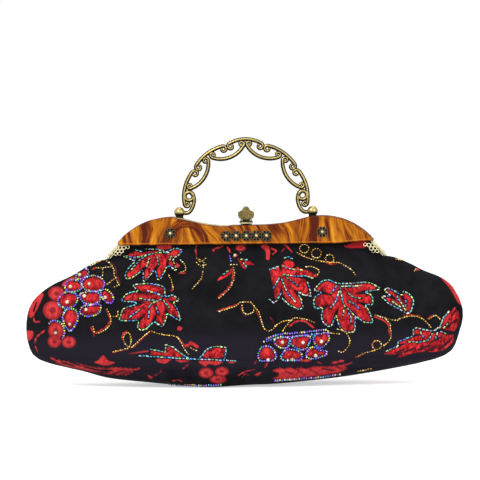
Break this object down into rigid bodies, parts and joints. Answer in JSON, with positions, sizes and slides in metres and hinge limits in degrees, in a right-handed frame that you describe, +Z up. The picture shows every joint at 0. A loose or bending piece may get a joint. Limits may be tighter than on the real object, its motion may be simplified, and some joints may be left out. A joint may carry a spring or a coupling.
{
  "type": "frame handbag",
  "caption": "Gathered cloth evening bag on a hinged frame with moulded plates, a tilting clasp tab and a swinging openwork scroll handle.",
  "frame": {"origin": "middle of the bag's footprint, on the surface it stands on", "axes": "+X to the bag's right as seen from the front, +Y from front to back, +Z up"},
  "size_m": [0.3794, 0.073, 0.2148],
  "materials": {
    "resin": "amber tortoise moulded resin, polished",
    "antique_brass": "antiqued cast brass",
    "pale_gilt": "pale gilt, bright",
    "dark_flower": "dark antiqued",
    "bright_brass": "polished",
    "printed_cloth": "black ribbed cloth with a printed and beaded vine pattern",
    "lining_cloth": "plain black lining",
    "piping_cord": "undyed cord"
  },
  "bodies": {
    "rear_half": {"rear_frame": "pale_gilt", "rear_plate": "resin", "rear_piping": "piping_cord", "rear_flange_left": "pale_gilt", "rear_flange_right": "pale_gilt", "rear_flower_left": "dark_flower", "rear_flower_right": "dark_flower", "rear_stud_left": "bright_brass", "rear_stud_right": "bright_brass", "hinge_rivet_left": "bright_brass", "hinge_rivet_right": "bright_brass", "handle_post_left": "antique_brass", "handle_post_right": "antique_brass", "clasp_catch": "antique_brass", "base_gusset": "printed_cloth", "front_panel": "printed_cloth", "rear_panel": "printed_cloth", "lining_pouch": "lining_cloth", "lining_rear_neck": "lining_cloth"},
    "front_half": {"front_frame": "pale_gilt", "front_plate": "resin", "front_piping": "piping_cord", "front_flange_left": "pale_gilt", "front_flange_right": "pale_gilt", "front_flower_left": "dark_flower", "front_flower_right": "dark_flower", "front_flower_row_1": "dark_flower", "front_flower_row_2": "dark_flower", "front_flower_row_3": "dark_flower", "front_flower_row_4": "dark_flower", "front_flower_row_5": "dark_flower", "front_stud_left": "bright_brass", "front_stud_right": "bright_brass", "front_stud_row_1": "bright_brass", "front_stud_row_2": "bright_brass", "front_stud_row_3": "bright_brass", "front_stud_row_4": "bright_brass", "front_stud_row_5": "bright_brass", "clasp_bracket": "antique_brass", "clasp_pin": "bright_brass", "front_gather": "printed_cloth", "lining_front_neck": "lining_cloth"},
    "clasp_lever": {"clasp_lever": "antique_brass"},
    "handle": {"handle": "antique_brass"}
  },
  "joints": [
    {"name": "frame_open", "type": "hinge", "parent": "rear_half", "child": "front_half", "pos_m": [0, 0, 0.1118], "axis": [1, 0, 0], "range_deg": [0, 70], "deforming": ["front_gather", "lining_front_neck"]},
    {"name": "clasp_tilt", "type": "hinge", "parent": "front_half", "child": "clasp_lever", "pos_m": [0, -0.0026, 0.14191], "axis": [1, 0, 0], "range_deg": [0, 40]},
    {"name": "handle_swing", "type": "hinge", "parent": "rear_half", "child": "handle", "pos_m": [0, 0.0026, 0.1506], "axis": [1, 0, 0], "range_deg": [-100, 100]}
  ]
}
